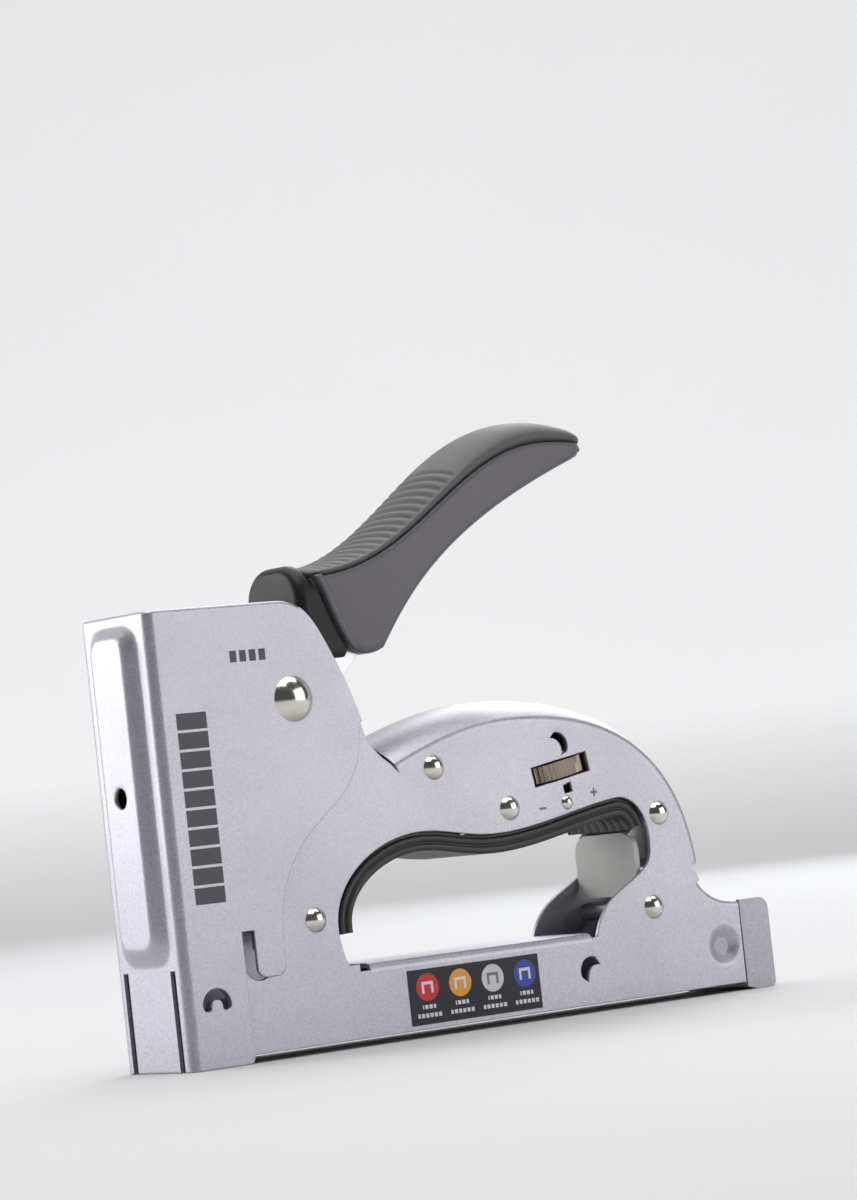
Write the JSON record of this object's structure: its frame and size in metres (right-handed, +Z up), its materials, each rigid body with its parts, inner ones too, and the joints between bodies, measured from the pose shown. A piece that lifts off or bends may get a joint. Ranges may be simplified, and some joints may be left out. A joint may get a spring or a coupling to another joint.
{
  "type": "staple gun",
  "caption": "Pressed-steel hand tacker with a squeeze lever above an arched handle, a finger loop, a power wheel and a pull-out staple magazine in the lower beam.",
  "frame": {"origin": "middle of the front edge of the nose foot, on the work surface", "axes": "+X from the nose to the tail, +Y to the tool's right-hand side, +Z up"},
  "size_m": [0.1848, 0.0352, 0.1514],
  "materials": {
    "silver_paint": "fine metallic silver paint, satin",
    "grey_paint": "neutral grey paint, satin",
    "polished_nickel": "polished nickel",
    "knurled_nickel": "warm nickel, knurled",
    "zinc_steel": "zinc plated steel",
    "hardened_steel": "hardened steel, dark",
    "spring_steel": "oiled spring steel",
    "black_rubber": "matt rubber",
    "black_plastic": "fine textured black plastic",
    "grey_plastic": "moulded grey plastic, satin",
    "soft_grip": "soft ribbed grip",
    "dark_grip": "soft dark grip",
    "pale_plastic": "pale grey moulded plastic",
    "label_print": "printed film"
  },
  "bodies": {
    "housing": {"left_housing": "silver_paint", "right_housing": "silver_paint", "handle_crown": "silver_paint", "nose_cover": "silver_paint", "lever_pin": "polished_nickel", "housing_rivets": "polished_nickel", "spacer_sleeves": "zinc_steel", "index_pin": "polished_nickel", "driver_guide": "hardened_steel", "bumper": "black_rubber", "drive_spring": "spring_steel", "spring_cap": "zinc_steel", "lever_return_spring": "spring_steel", "wheel_bridges": "zinc_steel", "finger_grip": "dark_grip", "magazine_channel": "zinc_steel", "spec_label": "label_print"},
    "lever": {"lever_core": "zinc_steel", "lever_head": "black_plastic", "lever_shell": "grey_plastic", "lever_grip": "soft_grip"},
    "striker": {"striker": "hardened_steel", "driver_blade": "hardened_steel"},
    "wheel": {"power_wheel": "knurled_nickel"},
    "screw": {"power_screw": "zinc_steel"},
    "limiter": {"power_limiter": "zinc_steel"},
    "release": {"magazine_release": "pale_plastic"},
    "magazine": {"magazine_catch": "grey_paint", "pusher_rod": "zinc_steel", "pusher_nut": "zinc_steel", "pusher_spring": "spring_steel", "staple_rail": "zinc_steel"},
    "pusher": {"staple_pusher": "black_plastic"}
  },
  "joints": [
    {"name": "lever_squeeze", "type": "hinge", "parent": "housing", "child": "lever", "pos_m": [0.0398, 0, 0.0856], "axis": [0, 1, 0], "range_deg": [0, 34.4], "stiffness_Nm_per_rad": 1, "springref_deg": -28.65},
    {"name": "striker_lift", "type": "slide", "parent": "housing", "child": "striker", "axis": [0, 0, 1], "range_m": [0, 0.014], "deforming": ["drive_spring"]},
    {"name": "wheel_turn", "type": "hinge", "parent": "housing", "child": "wheel", "pos_m": [0.11927, 0, 0.0618], "axis": [-0.1564, 0, 0.9877], "range_deg": [-120, 120]},
    {"name": "screw_travel", "type": "slide", "parent": "housing", "child": "screw", "axis": [-0.1564, 0, 0.9877], "range_m": [-0.0008, 0.0008]},
    {"name": "limiter_tilt", "type": "hinge", "parent": "housing", "child": "limiter", "pos_m": [0.10201, 0, 0.0535], "axis": [0, 1, 0], "range_deg": [-2.5, 2.5]},
    {"name": "magazine_pull", "type": "slide", "parent": "housing", "child": "magazine", "axis": [1, 0, 0], "range_m": [0, 0.1]},
    {"name": "pusher_slide", "type": "slide", "parent": "magazine", "child": "pusher", "axis": [1, 0, 0], "range_m": [0, 0.1], "stiffness_N_per_m": 20, "springref_m": -0.1, "deforming": ["pusher_spring"]},
    {"name": "release_press", "type": "hinge", "parent": "housing", "child": "release", "pos_m": [0.14928, 0, 0.048], "axis": [0, -1, 0], "range_deg": [0, 4.5], "stiffness_Nm_per_rad": 0.05, "springref_deg": -11.46}
  ],
  "couplings": [
    {"joint": "striker_lift", "follows": "lever_squeeze", "m_per_rad": 0.0233},
    {"joint": "screw_travel", "follows": "wheel_turn", "m_per_rad": 0.00038},
    {"joint": "limiter_tilt", "follows": "wheel_turn", "ratio": -0.0205}
  ]
}
